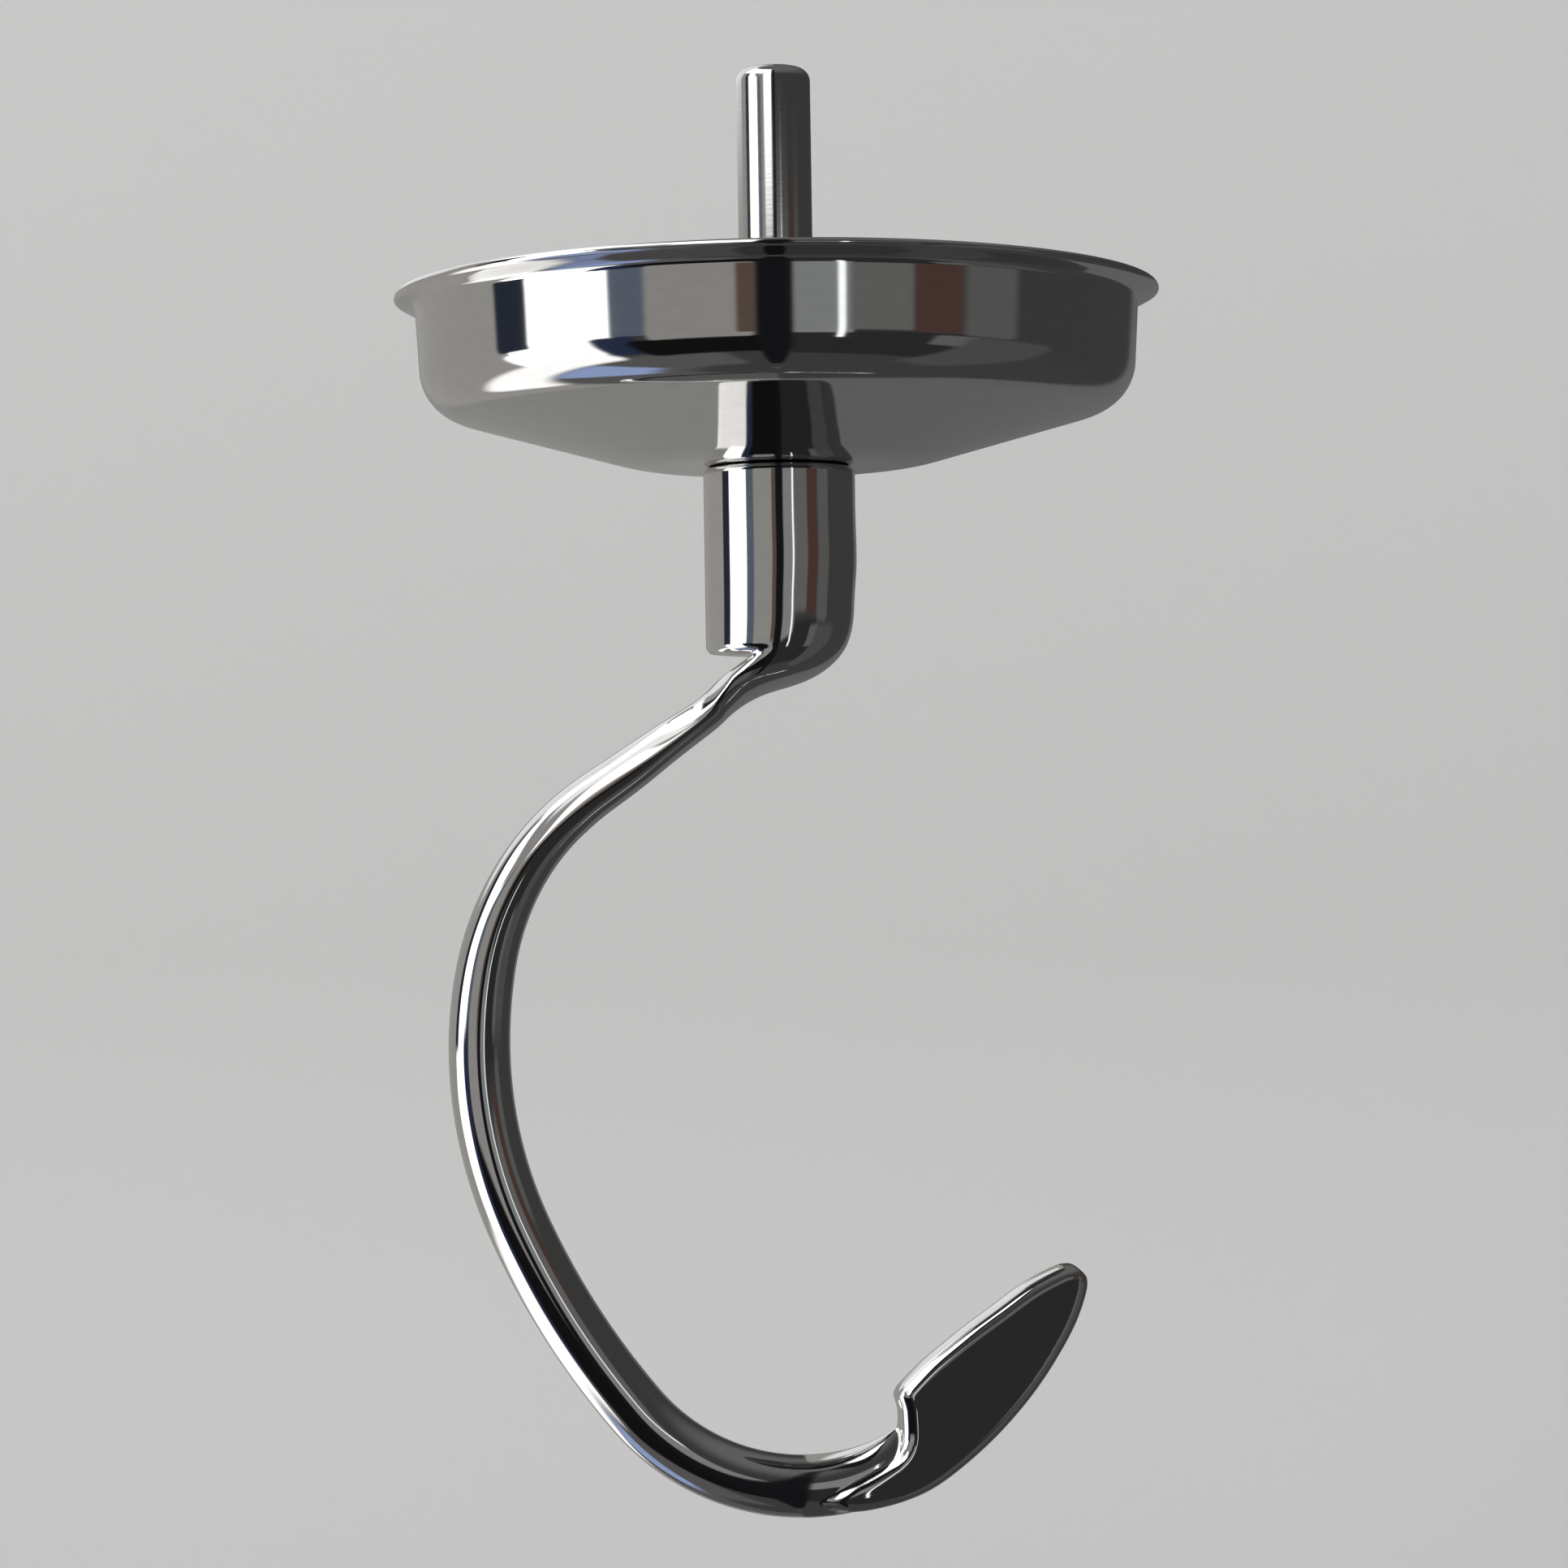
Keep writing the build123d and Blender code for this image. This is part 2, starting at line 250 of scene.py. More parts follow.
# ---- drive shaft
shaft = {
    "radius": 4.75,
    "grooveTop": -10.8,
    "grooveWidth": 1.2,
    "grooveDepth": 0.5,
    "shoulder": -36.3,
    "spigotRadius": 4.0,
    "spigotLength": 16.0,    # under the seat
    # from the top: the tip, the groove's four corners, the shoulder's two, the spigot's end
    "rounds": [1.7, 0.15, 0.12, 0.12, 0.15, 0.1, 0.1, 0.5],
    "step": 1.0,
    "columns": 128,
}


def makeShaft():
    # Half section from the tip's centre down the side to the spigot's end, carried round the axis
    r, top, shoulder = shaft["radius"], shaft["grooveTop"], shaft["shoulder"]
    neck, floor = r - shaft["grooveDepth"], top - shaft["grooveWidth"]
    thin, foot = shaft["spigotRadius"], seatZ - shaft["spigotLength"]
    middle = 0.01            # the poles close the last hundredth
    corners = [(middle, tipZ), (r, tipZ), (r, top), (neck, top), (neck, floor), (r, floor), (r, shoulder),
               (thin, shoulder), (thin, foot), (middle, foot)]
    profile = evenly(roundedLine(corners, shaft["rounds"], 0.12), shaft["step"])
    poles = [(0, 0, tipZ), (0, 0, foot)]
    makeMesh("driveShaft", spinProfile(profile, shaft["columns"]), poles=poles, material=turned,
             node="drive_shaft")


makeShaft()
for name in ("drive_pin", "clamp_washer"):
    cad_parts[name].data.materials.clear()
    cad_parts[name].data.materials.append(turned if name == "drive_pin" else plain)


# ---- hook: hub, arm and blade in one surface
hook = {
    "hubRadius": 9.75,
    "hubLength": 24.1,
    "hubTopRound": 1.0,
    "ledgeRound": 1.3,
    "notchRound": 0.5,
    # by the distance under the seat: the right side's distance from the axis, and the depth front to back
    "hubRight": ([0, 8, 13.1, 17.3, 21.6, 24.1], [9.75, 9.75, 9.75, 9.42, 8.95, 7.95]),
    "hubDepth": ([0, 8, 13.6, 17, 20.5, 24.1], [19.5, 19.5, 19.5, 19.4, 19.1, 18.5]),
    # the fan turns the hub's sections into the arm's about a pivot left of the axis, at the ledge's height;
    # by its turn in degrees: the far and the near side's distance from the pivot, and the depth
    "fanLeft": 13.0,
    "fanFar": ([0, 7.1, 13.9, 20.4, 24.6, 36.1, 50, 55.1],
               [20.95, 18.54, 15.76, 12.9, 11.65, 10.34, 9.8, 9.87]),
    "fanNear": ([0, 20, 40, 55.1], [3.25, 3.75, 4.7, 5.37]),
    "fanDepth": ([0, 11, 22, 33, 44, 55.1], [18.5, 17.0, 15.0, 13.2, 11.8, 10.8]),
    "upperDrop": 6.545,      # the arm's upper side passes this far under the pivot
    # rows are averaged over this width in the fan, and less and less over these distances before and after it
    "smooth": 1.1,
    "smoothIn": (9, 3),
    "smoothOut": (4, 9),
    # the rays' centre moves this far to the right over the last of the hub
    "rayShift": 2.2,
    "rayShiftRun": 12,
    # centre line of the arm: its start, beside the axis and under the ledge, its slope, and each stretch's
    # length and turn
    "armStart": (-5.06, -3.75),
    "armSlope": 34.9,
    "stretches": ([0, 22.95, 27.77, 34.54, 27.75, 35.84], [0, 0, 44.2, 34.9, 15.9, 73.6]),
    "fanEnd": 4.37,          # the fan hands over to the arm this far along it
    "noseStart": 14.0,       # and the arm to the blade this far before its end
    # along the arm: thickness in the hook's plane and depth across it
    "thick": ([0, 12, 18, 24, 30.5, 37, 44.7, 51.4, 60, 70, 78, 90, 148.9],
              [4.5, 4.5, 4.85, 5.35, 6.05, 6.6, 7.15, 7.6, 7.9, 7.98, 7.99, 7.99, 7.99]),
    "depth": ([0, 5.5, 12.4, 18.6, 25, 35, 50, 60, 90, 148.9],
              [10.9, 10.4, 9.3, 8.8, 8.5, 8.25, 8.12, 8.1, 8.1, 8.1]),
    # the arm's ovals start squarer than an ellipse, and lose that on the way
    "square": 0.3,
    "squareRun": (8, 40),
    # along the arm: how far its underside on the diagonal hangs lower than the thickness says
    "sag": ([0, 5, 9, 13, 18, 23, 27, 31, 36, 42, 60, 148.9],
            [0.3, 0.4, 0.5, 0.6, 0.75, 0.65, 0.45, 0.2, 0.04, 0, 0, 0]),
    "upperSide": 2.25,       # the diagonal's upper side over its centre line
    # the cut under the ledge is lifted off the arm between these distances along it
    "cutLift": 1.5,
    "cutRun": (6, 16),
    # flat on the diagonal's front, along the arm: turn from the upper side to the front, and distance out
    "flatTurn": ([-4, 0, 3, 6, 10, 14, 20, 26, 30, 34, 48], [28, 31, 37, 46, 59, 69, 75, 73, 69, 62, 50]),
    "flatOut": ([-4, 0, 3, 6, 10, 14, 20, 26, 30, 34, 48],
                [9.0, 5.6, 4.15, 3.6, 3.83, 3.96, 4.08, 3.98, 3.93, 3.87, 4.3]),
    "flatBend": 20,          # from here on the flat follows the arm's bend
    "flatRound": 0.3,
    "rayColumns": 168,
}
blade = {
    "turn": 18.0,            # its face turns this far to the right
    "halfThick": 2.3,
    "edgeRound": 1.9,
    "meetRound": 0.35,
    # outline on the blade's own plane, from the end of the arm's centre line: along the plane, up
    "outline": [
        (-10.0, -3.9), (-8.0, -5.0), (-5.0, -5.3), (-1.9, -4.95), (4.8, -3.1), (9.3, -0.45), (13.8, 3.0),
        (17.4, 6.4), (20.4, 9.8), (22.95, 13.3), (25.3, 17.2), (26.7, 20.7), (27.0, 22.6), (26.2, 24.3),
        (24.7, 24.85), (22.4, 24.35), (17.8, 22.2), (14.6, 20.2), (10.4, 17.6), (7.3, 15.5), (4.1, 13.2),
        (1.7, 11.1), (0.45, 9.3), (0.85, 7.8), (1.0, 6.4), (1.05, 4.9), (0.9, 3.3), (0.1, 1.9), (-1.8, 0.6),
        (-5.0, -0.8), (-8.0, -2.0)],
    # centre line of the blade on the same plane
    "spine": [(0.0, 0.0), (2.6, 1.35), (5.2, 3.2), (8.9, 7.0), (12.5, 10.9), (18.9, 16.8), (22.8, 20.4),
              (26.25, 23.9)],
    "forward": 0.75,         # the blade's plane stands this far in front of the bar's centre
    "level": 3.0,            # further left of the root than this, the plane runs out level,
    "levelSoft": 2.0,        # and this is how softly it turns there
    "tipRows": 2.4,          # the last rows crowd towards the tip over this length
    # the rows from the bar to the blade, by the distance from the bar's end: width they are averaged over,
    # where that comes in, where it goes out before the tip, and where they turn over to the blade's plane
    "smooth": 1.2,
    "smoothIn": (-6, -2),
    "smoothOut": (6, 3),
    "turnRun": (-9, 5),
    "squash": 0.65,          # the rays crowd to the blade's long edges by this share
    "squashRun": (0, 9),
    # the bar sinks back as it runs out behind the blade's left edge: half its depth and half its height
    "barEnd": 7.5,
    "barDepth": ([-14, -9, -5, -1, 2, 4, 6, 8], [4.05, 3.88, 3.3, 2.45, 1.5, 0.8, 0.5, 0.3]),
    "barHalf": ([-14, -11, -8, -5, 0, 2, 4, 6, 8], [3.99, 3.99, 3.99, 4.0, 4.05, 4.08, 3.9, 3.0, 1.5]),
}


def armLine(distance):
    # Heading grows in proportion to distance on each stretch; the place is its running sum
    lengths, turns = (np.cumsum(v) for v in hook["stretches"])
    fine = np.linspace(0, lengths[-1] + 12, 8000)
    heading = np.radians(180 + hook["armSlope"] + np.interp(fine, lengths, turns))
    step = fine[1] - fine[0]
    x = hook["armStart"][0] + np.r_[0, np.cumsum(np.cos((heading[1:] + heading[:-1]) / 2))] * step
    z = ledgeZ + hook["armStart"][1] + np.r_[0, np.cumsum(np.sin((heading[1:] + heading[:-1]) / 2))] * step
    return [np.interp(distance, fine, v) for v in (x, z, heading)]


def smoothRows(values, length, width):
    # Each row becomes the average of the rows around it, weighted by a bell curve of the distance
    weight = np.exp(-0.5 * ((length[:, None] - length[None, :]) / width)**2) * np.gradient(length)[None, :]
    return (weight @ values) / weight.sum(1)[:, None]


ledgeZ = seatZ - hook["hubLength"]
bladeTurn = math.radians(blade["turn"])
offArm = -40                 # stands for the distance along the arm in the rows above it
farInside, farOutside = -9.0, 5.0


def hookRows():
    # One row of values per section: x and z of its middle, its tilt, half its width, half its depth, how far
    # the rays' centre stands off the middle, and its distance along the arm
    r, left, end = hook["hubRadius"], hook["fanLeft"], hook["hubLength"]
    # the rows crowd at the seat, above the ledge, at the fan's start and at the bar's end
    below = np.r_[np.linspace(0.003, 1.3, 20), np.arange(1.9, end - 1.4, 0.7),
                  np.linspace(end - 1.3, end - 0.01, 26)]
    right = splineThrough(*hook["hubRight"], below)
    hubMiddle, hubDepth = (right - r) / 2, splineThrough(*hook["hubDepth"], below)
    shift = hook["rayShift"] * smoothStep(end - hook["rayShiftRun"], end, below) - hubMiddle
    hubRows = np.stack([hubMiddle, seatZ - below, 0 * below, (right + r) / 2, hubDepth / 2, shift,
                        0 * below + offArm], -1)
    turn = np.r_[np.linspace(0.05, 6, 24), np.linspace(6.6, 55, 60)]
    far, near = splineThrough(*hook["fanFar"], turn), splineThrough(*hook["fanNear"], turn)
    a = np.radians(turn)
    slope = math.tan(math.radians(hook["armSlope"]))
    topLine = hook["upperDrop"] / (np.sin(a) + slope * np.cos(a))
    middle = (near + far) / 2
    fanRows = np.stack([-left + middle * np.cos(a), ledgeZ - middle * np.sin(a), a, (far - near) / 2,
                        splineThrough(*hook["fanDepth"], turn) / 2, (topLine + far) / 2 - middle,
                        0 * a + offArm], -1)
    armLength = sum(hook["stretches"][0])
    distance = np.r_[np.arange(hook["fanEnd"] + 0.5, armLength - 14, 0.75),
                     np.arange(armLength - 13.6, armLength, 0.4)]
    x, z, heading = armLine(distance)
    sag = splineThrough(*hook["sag"], distance)
    tilt = 1.5 * math.pi - heading
    x, z = x + sag / 2 * np.cos(tilt), z - sag / 2 * np.sin(tilt)
    armRows = np.stack([x, z, tilt, (splineThrough(*hook["thick"], distance) + sag) / 2,
                        splineThrough(*hook["depth"], distance) / 2, 0 * x, distance], -1)
    return hubRows, fanRows, armRows, armLength


def traceRows(field, centre, across, deep, columns, squash, reach=28.0, stride=0.3):
    # From each row's centre a ray leaves at every angle. Strides find where the field first turns positive,
    # and halving closes in on it. A squash below 1 crowds the rays towards both ends of a thin, wide section.
    angle = np.linspace(0, 2 * np.pi, columns, endpoint=False)
    ray = np.cos(angle)[None, :, None] * across[:, None, :]
    ray = ray + squash[:, None, None] * np.sin(angle)[None, :, None] * deep[:, None, :]
    ray /= np.linalg.norm(ray, axis=-1)[..., None]
    low = np.zeros(ray.shape[:2])
    inMetal = np.ones(ray.shape[:2], bool)
    for step in np.arange(stride, reach, stride):
        inMetal &= field(centre[:, None, :] + ray * step) < 0
        low[inMetal] = step
        if not inMetal.any():
            break
    high = low + stride
    for k in range(18):
        middle = (low + high) / 2
        inside = field(centre[:, None, :] + ray * middle[..., None]) < 0
        low, high = np.where(inside, middle, low), np.where(inside, high, middle)
    return centre[:, None, :] + ray * high[..., None]


def outlineField(a, b, outline):
    # Signed distance to a closed outline, negative inside
    best = np.full(a.shape, 1e9)
    inside = np.zeros(a.shape, bool)
    for (ax, ay), (bx, by) in zip(outline, np.roll(outline, -1, axis=0)):
        ex, ey = bx - ax, by - ay
        t = np.clip(((a - ax) * ex + (b - ay) * ey) / (ex * ex + ey * ey), 0, 1)
        best = np.minimum(best, np.hypot(a - ax - t * ex, b - ay - t * ey))
        crosses = (ay > b) != (by > b)
        inside ^= crosses & (a < ax + (b - ay) * ex / (ey if ey else 1e-9))
    return np.where(inside, -best, best)


def closedSpline(points, count):
    # A closed curve: three rounds of the points through the natural spline, and the middle round is cut out
    loop = np.array(points + points + points, float)
    knots = np.r_[0, np.cumsum(np.hypot(*np.diff(loop, axis=0).T))]
    start, stop = knots[len(points)], knots[2 * len(points)]
    x = np.linspace(start, stop, count, endpoint=False)
    return np.stack([splineThrough(knots, loop[:, k], x) for k in (0, 1)], -1)


def makeHook():
    hubRows, fanRows, armRows, armLength = hookRows()
    upper = np.concatenate([hubRows, fanRows, armRows])
    middle = upper[:, :2]
    length = np.r_[0, np.cumsum(np.maximum(np.hypot(*np.diff(middle, axis=0).T), 0.004))]
    smoothed = smoothRows(upper, length, hook["smooth"])
    fanTop, fanFoot = length[len(hubRows)], length[len(hubRows) + len(fanRows)]
    (inFrom, inTo), (outFrom, outTo) = hook["smoothIn"], hook["smoothOut"]
    share = smoothStep(fanTop - inFrom, fanTop - inTo, length)
    share = share * (1 - smoothStep(fanFoot + outFrom, fanFoot + outTo, length))
    rows = upper.copy()
    rows[:, :6] += (smoothed - upper)[:, :6] * share[:, None]
    x, z, tilt, half, deep, shift, distance = rows.T

    # the blade's rows follow its own centre line, and turn with its plane
    outline = closedSpline(blade["outline"], 160)
    spine = np.array(blade["spine"])
    knots = np.r_[0, np.cumsum(np.hypot(*np.diff(spine, axis=0).T))]
    tipRows = knots[-1] - blade["tipRows"] * np.cos(np.linspace(0, np.pi / 2, 18))[:-1]
    bladeAlong = np.r_[np.arange(0.3, tipRows[0] - 0.1, 0.25), tipRows]
    a, b = (splineThrough(knots, spine[:, k], bladeAlong) for k in (0, 1))
    rootX, rootZ = armLine(np.array([armLength]))[:2]
    bladeX, bladeY, bladeZ = rootX + a * math.cos(bladeTurn), a * math.sin(bladeTurn), rootZ + b
    bladeHeading = np.arctan2(np.gradient(b, bladeAlong), np.gradient(a, bladeAlong))

    # each upper row's rays: their centre, the direction in the hook's plane and the one from front to back
    centre = np.stack([x + shift * np.cos(tilt), 0 * x, z - shift * np.sin(tilt)], -1)
    across = np.stack([np.cos(tilt), 0 * x, -np.sin(tilt)], -1)
    frontToBack = np.tile([0.0, 1.0, 0.0], (len(x), 1))
    rowMiddle = np.stack([x, 0 * x, z], -1)
    sag = splineThrough(*hook["sag"], np.clip(distance, 0, 148))
    startX, startZ = hook["armStart"][0], ledgeZ + hook["armStart"][1]
    slope = math.radians(hook["armSlope"])
    flatStart, flatEnd = hook["flatTurn"][0][0], hook["flatTurn"][0][-1]

    def upperField(points):
        # The row's oval, rounded off at the seat, less what lies under the ledge and over the arm, less what
        # lies in front of the flat
        u = np.einsum("rcx,rx->rc", points - rowMiddle[:, None, :], across)
        x, v, z = np.moveaxis(points, -1, 0)
        squarer = (1 - smoothStep(*hook["squareRun"], distance)) * (distance > 0)
        power = 2 + hook["square"] * squarer[:, None]
        norm = (np.abs(u / half[:, None])**power + np.abs(v / deep[:, None])**power)**(1 / power)
        oval = roundMax((norm - 1) * np.minimum(half, deep)[:, None], z - seatZ, hook["hubTopRound"])
        # straight diagonal: height over its centre line and distance along it
        height = (z - startZ) * math.cos(slope) - (x - startX) * math.sin(slope)
        along = (startZ - z) * math.sin(slope) + (startX - x) * math.cos(slope)
        lift = hook["cutLift"] * smoothStep(*hook["cutRun"], distance)[:, None]
        cut = roundMin(ledgeZ - z, height - hook["upperSide"] - lift, hook["notchRound"])
        cut = np.where((distance < hook["cutRun"][1])[:, None], cut, farInside)
        oval = roundMax(oval, cut, hook["ledgeRound"])
        # the flat turns from the upper side to the front, and lies its own distance out
        bent = (distance > hook["flatBend"])[:, None]
        along = np.clip(np.where(bent, distance[:, None], along), flatStart, flatEnd)
        height = np.where(bent, -u - (sag / 2)[:, None], height)
        turn = np.radians(splineThrough(*hook["flatTurn"], along))
        flat = height * np.cos(turn) - v * np.sin(turn) - splineThrough(*hook["flatOut"], along)
        flat = np.where(((distance < flatEnd) & (length > fanTop))[:, None], flat, farInside)
        return roundMax(oval, flat, hook["flatRound"])

    noseStart = int(np.argmax(distance > armLength - hook["noseStart"]))
    grid = traceRows(upperField, centre, across, frontToBack, hook["rayColumns"], np.ones(len(x)))[:noseStart]
    print("hub and arm traced", grid.shape)

    # the last of the bar, and the blade; s runs on from the bar's end. The rows' middles and headings are
    # smoothed where the two centre lines meet, and their planes turn over to the blade's
    s = np.r_[distance[noseStart:] - armLength, bladeAlong]
    barLine = np.stack([x, 0 * x, z, 1.5 * math.pi - tilt], -1)[noseStart:]
    bladeLine = np.stack([bladeX, bladeY, bladeZ, bladeHeading + 2 * math.pi], -1)
    lines = np.concatenate([barLine, bladeLine])
    outFrom, outTo = (knots[-1] - gap for gap in blade["smoothOut"])
    share = (smoothStep(*blade["smoothIn"], s) * (1 - smoothStep(outFrom, outTo, s)))[:, None]
    lines = lines * (1 - share) + smoothRows(lines, s, blade["smooth"]) * share
    centre, heading = lines[:, :3], lines[:, 3]
    swing = bladeTurn * smoothStep(*blade["turnRun"], s)
    side, up = -np.sin(heading), np.cos(heading)
    across = np.stack([side * np.cos(swing), side * np.sin(swing), up], -1)
    behind = np.stack([-np.sin(swing), np.cos(swing), 0 * swing], -1)
    span = np.clip(s, -14, 8)
    barHalf, barDepth = (splineThrough(*blade[key], span)[:, None] for key in ("barHalf", "barDepth"))

    def lowerField(points):
        # The bar's oval, joined to the blade's outline at its thickness
        offset = points - centre[:, None, :]
        u = np.einsum("rcx,rx->rc", offset, across)
        v = np.einsum("rcx,rx->rc", offset, behind)
        right, y, up = points[..., 0] - rootX, points[..., 1], points[..., 2] - rootZ
        # the blade's plane turns about its root and runs out level to the left of it
        reach, soft = blade["level"], blade["levelSoft"]
        level = soft * np.log1p(np.exp((right + reach) / soft)) - reach
        depth = y * math.cos(bladeTurn) - level * math.sin(bladeTurn) + blade["forward"]
        inPlane = outlineField(right * math.cos(bladeTurn) + y * math.sin(bladeTurn), up, outline)
        plate = roundMax(inPlane, np.abs(depth) - blade["halfThick"], blade["edgeRound"])
        bar = (np.hypot(u / barHalf, v / barDepth) - 1) * np.minimum(barHalf, barDepth)
        bar = np.where((s < blade["barEnd"])[:, None], bar, farOutside)
        return roundMin(bar, plate, blade["meetRound"])

    squash = 1 - blade["squash"] * smoothStep(*blade["squashRun"], s)
    lower = traceRows(lowerField, centre, across, behind, hook["rayColumns"], squash)
    print("end of the bar and blade traced", lower.shape)
    makeMesh("hookBody", np.concatenate([grid, lower]), poles=[(0, 0, seatZ), lower[-1].mean(0)],
             material=polished, node="hook_body")


makeHook()


# ---- stage: backdrop, mirrored room, light and camera
stage = {
    "floorZ": -0.30,
    "wallY": 0.42,
    "bend": 0.18,
    "halfWidth": 1.6,
    "colour": (0.56, 0.56, 0.55),
    "roughness": 0.9,
    # soft lamps: name, place, what it points at, width, power
    "lamps": [("softLeft", (-0.9, -0.9, 0.7), (0, 0.1, -0.1), 0.8, 14),
              ("softRight", (0.9, -0.7, 0.5), (0, 0.1, -0.1), 0.9, 7)],
    "sky": (0.75, 0.76, 0.78, 1),
    "skyStrength": 0.5,
    "camera": {"distance": 0.459, "height": -0.0794, "lens": 82.0, "roll": 0.9},
}


def makeStage():
    # Floor profile that bends up into the wall, carried along X
    reach = stage["halfWidth"]
    corners = [(-reach, stage["floorZ"]), (stage["wallY"], stage["floorZ"]), (stage["wallY"], reach)]
    line = evenly(roundedLine(np.array(corners) / mm, [stage["bend"] / mm], 4.0), 60.0)
    side = np.linspace(-reach, reach, 5) / mm
    grid = np.stack([side[None, :] + 0 * line[:, :1], line[:, :1] + 0 * side, line[:, 1:] + 0 * side], -1)
    rows, columns = grid.shape[:2]
    here = (np.arange(rows - 1)[:, None] * columns + np.arange(columns - 1)).ravel()
    faces = np.stack([here, here + 1, here + 1 + columns, here + columns], -1)
    mesh = bpy.data.meshes.new("backdrop")
    mesh.from_pydata((grid.reshape(-1, 3) * mm).tolist(), [], faces.tolist())
    mesh.shade_smooth()
    backdrop = bpy.data.objects.new("backdrop", mesh)
    bpy.context.scene.collection.objects.link(backdrop)
    paper = bpy.data.materials.new("backdropPaper")
    paper.use_nodes = True
    shader = paper.node_tree.nodes["Principled BSDF"]
    shader.inputs["Base Color"].default_value = (*stage["colour"], 1)
    shader.inputs["Roughness"].default_value = stage["roughness"]
    mesh.materials.append(paper)
    backdrop.visible_glossy = False


makeStage()

# What the steel mirrors: a room round the object that only reflections see. Azimuth in degrees round the
# axis (0 behind the camera, minus is its left), height as an angle above the horizon.
# Each patch: azimuth from and to, height from and to, softness of its rim, brightness, tint
room = {
    "radius": 0.85,
    "middle": (0.0, 0.0, -0.08),
    "floor": 0.06,
    "wall": 0.055,
    "ceiling": 0.16,
    "floorToWall": (-35, -5),
    "wallToCeiling": (25, 60),
    "patches": [
        (-200, -20, -75, -42, 7, 0.12, (1.0, 1.0, 1.0)),        # floor on the left
        (-200, -88, -47, 70, 6, 0.38, (1.0, 0.98, 0.93)),       # beige wall
        (-200, -160, -50, 14, 8, 0.29, (1.0, 1.0, 0.98)),       # behind the object, left
        (-146, -60, -46, -29, 5, 1.5, (1.0, 1.0, 1.0)),         # table top lit by the window
        (-96, -57, -32, -10, 4, 2.2, (1.0, 1.0, 1.0)),          # sill in full light
        (-122, -80, -68, -47, 6, 0.5, (0.7, 0.9, 1.5)),         # blue sheen on the floor
        (-92, -51, -14, 62, 2, 2.4, (1.0, 1.0, 1.0)),           # window
        (-96, -82, -6, 40, 2, 0.04, (0.6, 0.75, 1.2)),          # its dark frame
        (-52, -39, -4, 20, 2, 0.16, (0.75, 0.9, 1.2)),          # blue curtain
        (-60, -44, -38, -3, 4, 0.05, (0.5, 0.7, 1.5)),          # its shaded foot
        (-48, 8, -46, -13, 4, 0.008, (1.0, 1.0, 1.1)),          # table's dark side
        (-40, -7, -14, 20, 2.5, 0.33, (1.0, 0.98, 0.93)),       # pale cupboard
        (-12, -6, -6, 14, 1.5, 0.12, (1.0, 0.7, 0.6)),          # brown door frame
        (-60, -6, 19, 37, 4, 0.32, (1.0, 1.0, 1.0)),            # wall over the cupboard
        (-30, -6, 14, 46, 3, 2.0, (1.0, 1.0, 1.0)),             # ceiling lamp
        (-48, -24, 29, 50, 5, 1.2, (1.0, 1.0, 1.0)),            # its glow on the wall
        (-118, -6, 40, 66, 5, 2.0, (1.0, 1.0, 1.0)),            # bright ceiling
        (-172, -116, 16, 66, 6, 1.0, (1.0, 1.0, 1.02)),         # and its far end
        (-6, 5, -78, 60, 2, 0.012, (0.8, 0.85, 1.0)),           # dark doorway
        (5, 62, -52, -5, 4, 0.03, (1.0, 1.0, 1.0)),             # dark bench
        (5, 23, -9, 14, 2, 0.27, (0.97, 1.0, 1.02)),            # grey door
        (18.4, 20.6, -18, 14, 0.8, 1.6, (0.95, 0.98, 1.0)),     # bright gap beside the door
        (22, 42, -2, 14, 2.5, 0.15, (1.0, 1.0, 0.99)),          # grey side of the door
        (42, 58, -3, 14, 2.5, 0.085, (1.0, 0.55, 0.48)),        # red-brown cupboard
        (59, 78, -6, 14, 4, 0.12, (1.0, 1.0, 1.0)),             # wall beside it
        (50, 66, -26, -8, 3, 0.14, (1.0, 1.0, 1.0)),            # pale sill
        (62, 96, -62, -8, 6, 0.09, (1.0, 1.0, 1.0)),            # grey floor on the right
        (148, 200, -50, 12, 8, 0.15, (1.0, 1.0, 1.0)),          # behind the object, right
    ],
}


def roomLight(azimuth, height):
    # Floor, wall and ceiling run softly into each other, and each patch is laid over with a rounded soft rim
    base = room["floor"] + (room["wall"] - room["floor"]) * smoothStep(*room["floorToWall"], height)
    base = base + (room["ceiling"] - room["wall"]) * smoothStep(*room["wallToCeiling"], height)
    light = base[..., None] * np.ones(3)
    for start, stop, low, high, soft, level, tint in room["patches"]:
        across = np.abs(azimuth - (start + stop) / 2) - (stop - start) / 2 + soft
        upright = np.abs(height - (low + high) / 2) - (high - low) / 2 + soft
        rim = np.hypot(np.maximum(across, 0), np.maximum(upright, 0)) - soft
        rim = rim + np.minimum(np.maximum(across, upright), 0)
        share = 1 - smoothStep(-soft / 2, soft / 2, rim)[..., None]
        light = light * (1 - share) + share * level * np.array(tint)
    return light


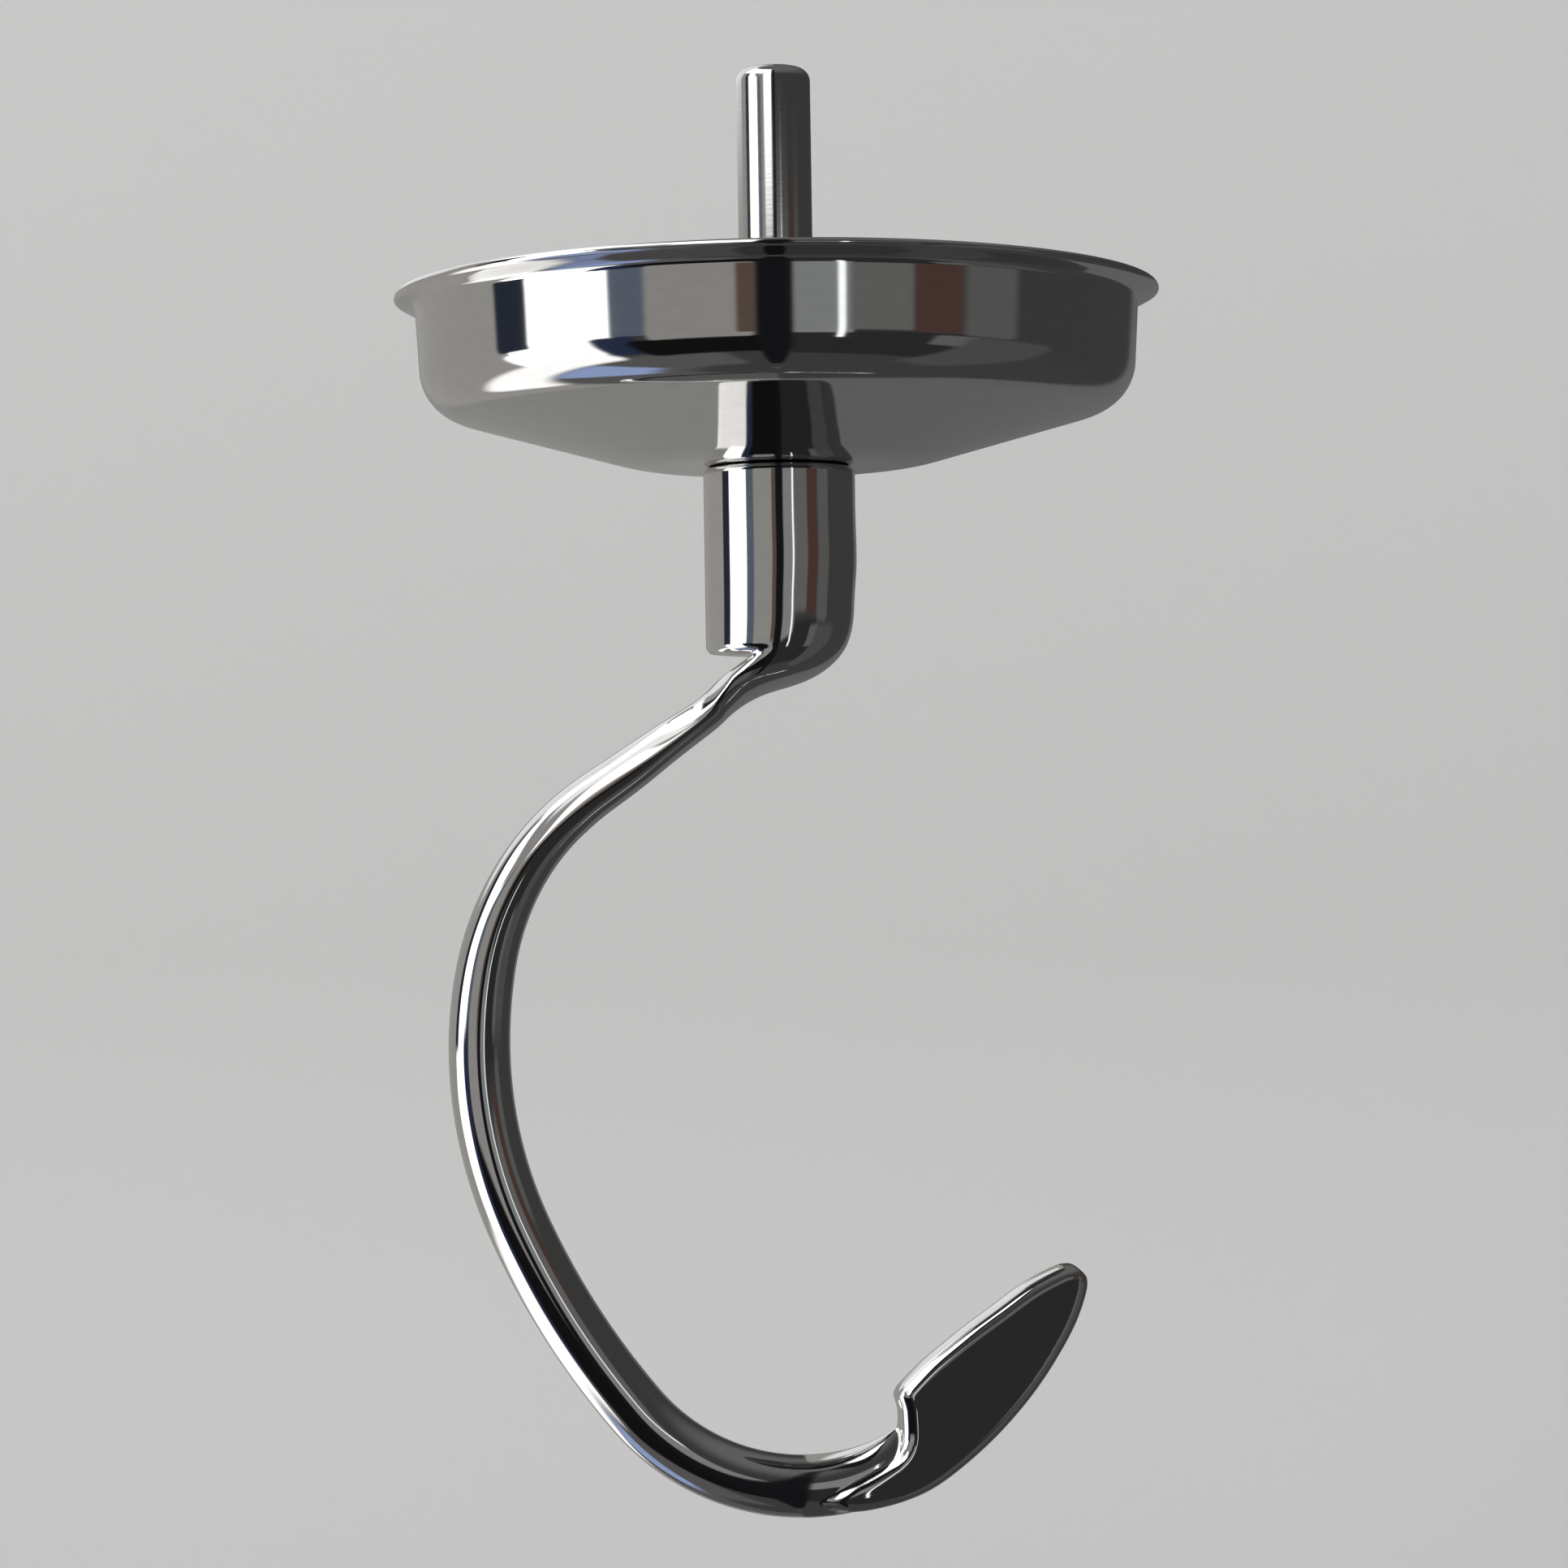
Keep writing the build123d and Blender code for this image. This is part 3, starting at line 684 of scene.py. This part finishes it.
def makeRoom():
    # A ball seen from inside, with its light worked out at every point
    azimuth = np.linspace(-180, 180, 721)[:-1]
    height = np.linspace(-89.5, 89.5, 240)
    a, h = np.radians(azimuth)[None, :], np.radians(height)[:, None]
    grid = room["radius"] * np.stack([np.cos(h) * np.sin(a), -np.cos(h) * np.cos(a), np.sin(h) + 0 * a], -1)
    grid = grid + np.array(room["middle"])
    rows, columns = grid.shape[:2]
    here = np.arange(rows - 1)[:, None] * columns + np.arange(columns)
    beside = np.arange(rows - 1)[:, None] * columns + (np.arange(columns) + 1) % columns
    mesh = bpy.data.meshes.new("room")
    faces = np.stack([here, beside, beside + columns, here + columns], -1).reshape(-1, 4)
    mesh.from_pydata(grid.reshape(-1, 3).tolist(), [], faces.tolist())
    light = roomLight(*np.meshgrid(azimuth, height))
    light = np.concatenate([light, np.ones((rows, columns, 1))], -1)
    store = mesh.color_attributes.new("light", "FLOAT_COLOR", "POINT")
    store.data.foreach_set("color", light.astype(np.float32).ravel())
    ball = bpy.data.objects.new("room", mesh)
    bpy.context.scene.collection.objects.link(ball)
    glow = bpy.data.materials.new("roomGlow")
    glow.use_nodes = True
    tree = glow.node_tree
    tree.nodes.clear()
    read = tree.nodes.new("ShaderNodeAttribute")
    read.attribute_name = "light"
    shine = tree.nodes.new("ShaderNodeEmission")
    out = tree.nodes.new("ShaderNodeOutputMaterial")
    tree.links.new(read.outputs["Color"], shine.inputs["Color"])
    tree.links.new(shine.outputs["Emission"], out.inputs["Surface"])
    mesh.materials.append(glow)
    ball.visible_camera = False
    ball.visible_diffuse = False
    ball.visible_transmission = False
    ball.visible_shadow = False


makeRoom()


def makeLamp(name, place, aim, size, power):
    lamp = bpy.data.lights.new(name, "AREA")
    lamp.shape = "DISK"
    lamp.size = size
    lamp.energy = power
    holder = bpy.data.objects.new(name, lamp)
    holder.location = place
    holder.rotation_euler = (Vector(aim) - Vector(place)).to_track_quat("-Z", "Y").to_euler()
    holder.visible_glossy = False
    bpy.context.scene.collection.objects.link(holder)


for lampValues in stage["lamps"]:
    makeLamp(*lampValues)

world = bpy.data.worlds.new("studio")
world.use_nodes = True
sky = world.node_tree.nodes["Background"]
sky.inputs["Color"].default_value = stage["sky"]
sky.inputs["Strength"].default_value = stage["skyStrength"]
bpy.context.scene.world = world
bpy.context.scene.view_settings.view_transform = "Standard"

cameraPlace = stage["camera"]
camera = bpy.data.cameras.new("camera")
camera.lens = cameraPlace["lens"]
camera.sensor_width = 36.0
cameraObject = bpy.data.objects.new("camera", camera)
cameraObject.location = (0, -cameraPlace["distance"], cameraPlace["height"])
cameraObject.rotation_euler = Euler((math.pi / 2, math.radians(cameraPlace["roll"]), 0), "XYZ")
bpy.context.scene.collection.objects.link(cameraObject)
bpy.context.scene.camera = cameraObject
print("stage ready")
